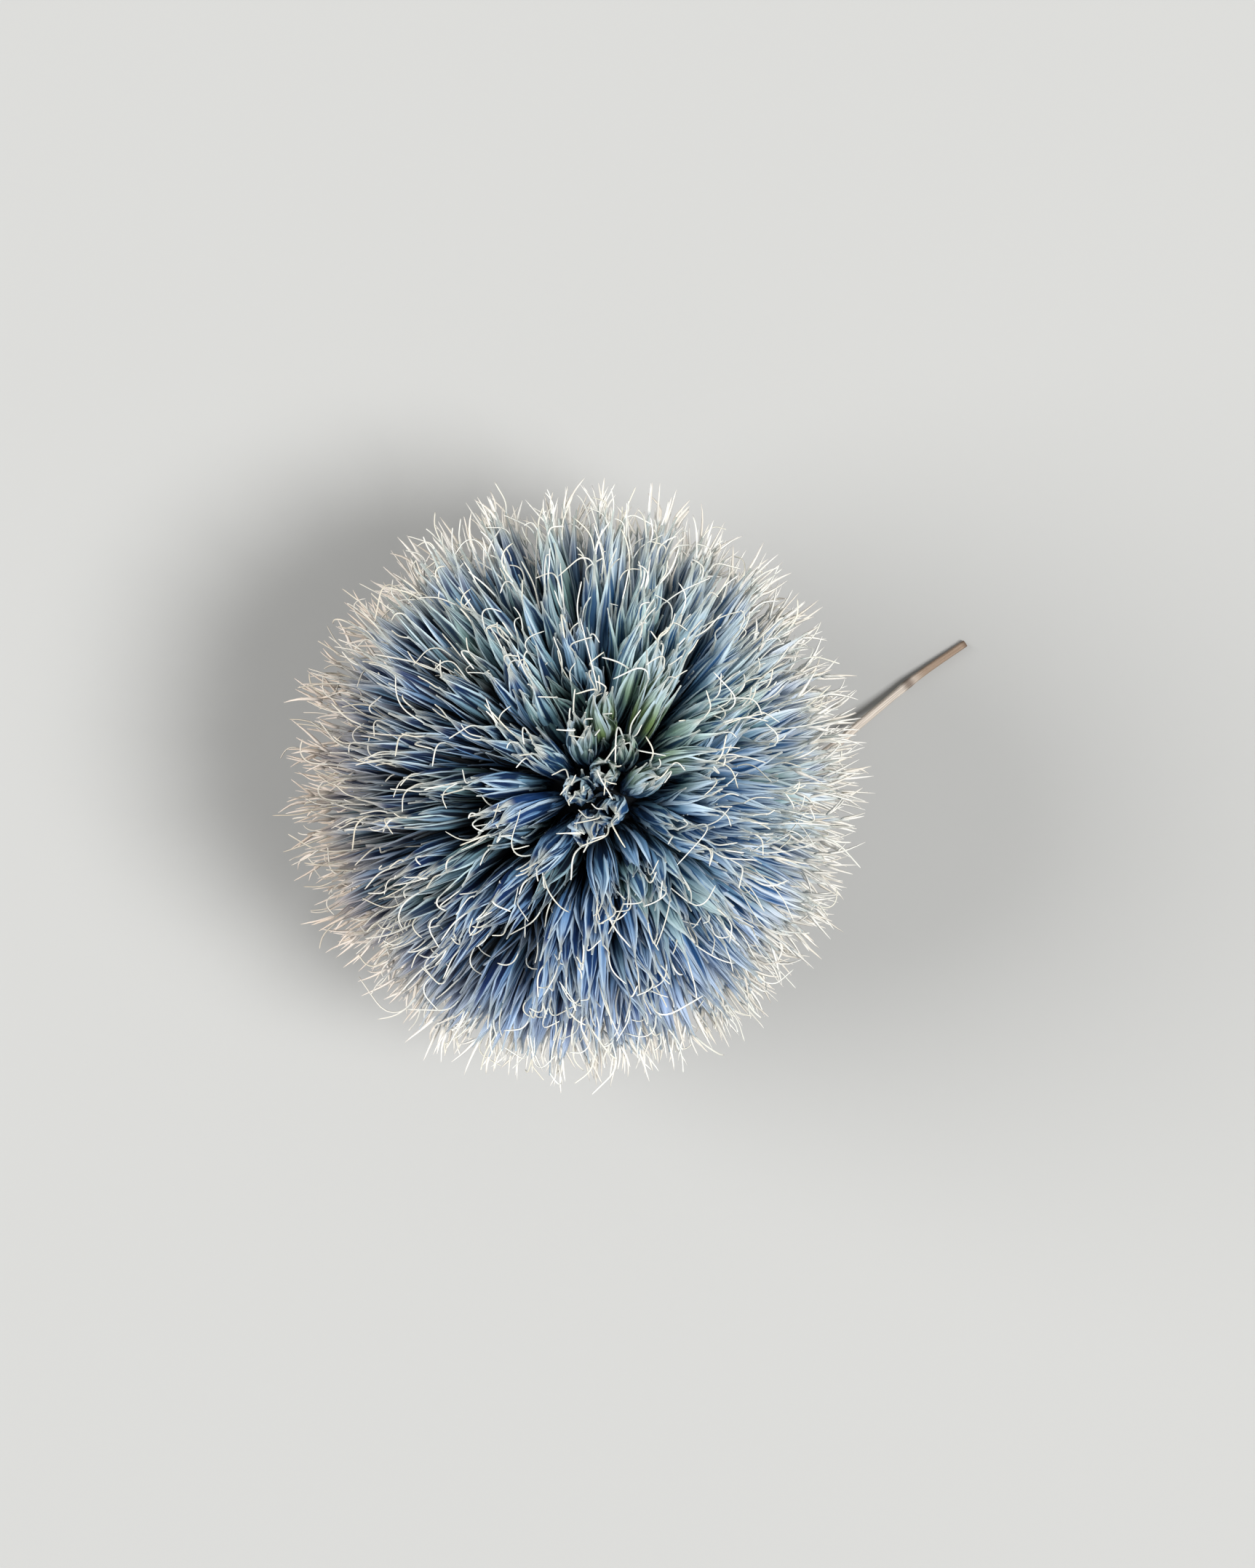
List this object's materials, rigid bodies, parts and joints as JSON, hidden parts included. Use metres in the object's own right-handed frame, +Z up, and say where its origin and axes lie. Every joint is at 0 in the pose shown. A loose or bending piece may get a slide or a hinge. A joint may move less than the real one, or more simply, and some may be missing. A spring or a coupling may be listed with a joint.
{
  "type": "globe thistle flower head",
  "caption": "Round flower head of long pointed blue-grey bracts with thready cream tips, cut with a short bent stalk and lying on a surface.",
  "frame": {"origin": "middle of the footprint, on the surface that the flower head lies on", "axes": "+Z up, away from the surface; +X along the side where the stalk lies; +Y across it"},
  "size_m": [0.0556, 0.0484, 0.0448],
  "materials": {
    "bracts": "matte",
    "thread_tips": "matte",
    "receptacle": "matte",
    "stalk": "matte"
  },
  "bodies": {
    "root": {"flower_head": "bracts", "stem": "stalk"}
  },
  "joints": []
}
